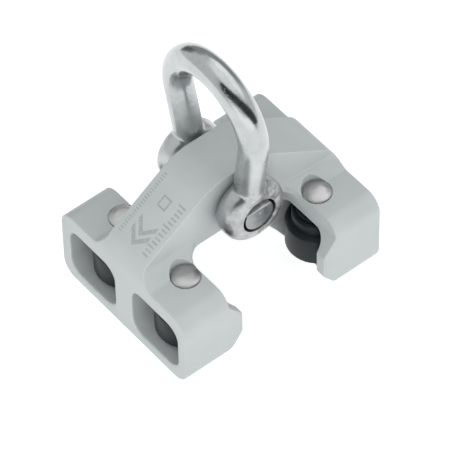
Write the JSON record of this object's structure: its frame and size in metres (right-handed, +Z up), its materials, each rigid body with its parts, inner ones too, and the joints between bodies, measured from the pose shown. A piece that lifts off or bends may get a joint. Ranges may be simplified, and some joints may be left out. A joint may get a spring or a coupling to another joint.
{
  "type": "rail trolley with shackle",
  "caption": "Aluminium bridge-shaped rail trolley with plastic side rollers on upright pins and a swinging stainless bow shackle on a cross pin.",
  "frame": {"origin": "centre of the footprint at the level of the soles of the feet", "axes": "+Z up towards the shackle, +Y along the rail and the shackle pin, +X across the rail from the marked sloped face to the plain one"},
  "size_m": [0.082, 0.064, 0.1022],
  "materials": {
    "anodised_body": "satin clear anodised, fine machining marks",
    "roller_plastic": "turned black plastic, slightly glossy shoulder",
    "bearing_plastic": "natural plastic bearing",
    "axle_steel": "satin stainless, domed heads",
    "shackle_steel": "polished stainless with worked, slightly uneven surface"
  },
  "bodies": {
    "trolley": {"trolley_body": "anodised_body", "shackle_pin_bush": "bearing_plastic", "axle_pin_front_right": "axle_steel", "lower_washer_front_right": "axle_steel", "upper_washer_front_right": "axle_steel", "axle_pin_front_left": "axle_steel", "lower_washer_front_left": "axle_steel", "upper_washer_front_left": "axle_steel", "axle_pin_rear_right": "axle_steel", "lower_washer_rear_right": "axle_steel", "upper_washer_rear_right": "axle_steel", "axle_pin_rear_left": "axle_steel", "lower_washer_rear_left": "axle_steel", "upper_washer_rear_left": "axle_steel"},
    "roller_set_front_right": {"roller_front_right": "roller_plastic", "roller_bush_front_right": "bearing_plastic"},
    "roller_set_front_left": {"roller_front_left": "roller_plastic", "roller_bush_front_left": "bearing_plastic"},
    "roller_set_rear_right": {"roller_rear_right": "roller_plastic", "roller_bush_rear_right": "bearing_plastic"},
    "roller_set_rear_left": {"roller_rear_left": "roller_plastic", "roller_bush_rear_left": "bearing_plastic"},
    "shackle": {"shackle_bow": "shackle_steel", "shackle_pin": "shackle_steel"}
  },
  "joints": [
    {"name": "spin_front_right", "type": "hinge", "parent": "trolley", "child": "roller_set_front_right", "pos_m": [-0.0274, -0.016, 0.015], "axis": [0, 0, 1], "continuous": true},
    {"name": "spin_front_left", "type": "hinge", "parent": "trolley", "child": "roller_set_front_left", "pos_m": [-0.0274, 0.016, 0.015], "axis": [0, 0, 1], "continuous": true},
    {"name": "spin_rear_right", "type": "hinge", "parent": "trolley", "child": "roller_set_rear_right", "pos_m": [0.0274, -0.016, 0.015], "axis": [0, 0, 1], "continuous": true},
    {"name": "spin_rear_left", "type": "hinge", "parent": "trolley", "child": "roller_set_rear_left", "pos_m": [0.0274, 0.016, 0.015], "axis": [0, 0, 1], "continuous": true},
    {"name": "shackle_swing", "type": "hinge", "parent": "trolley", "child": "shackle", "pos_m": [0, 0, 0.0437], "axis": [0, 1, 0], "range_deg": [-94, 98]}
  ]
}
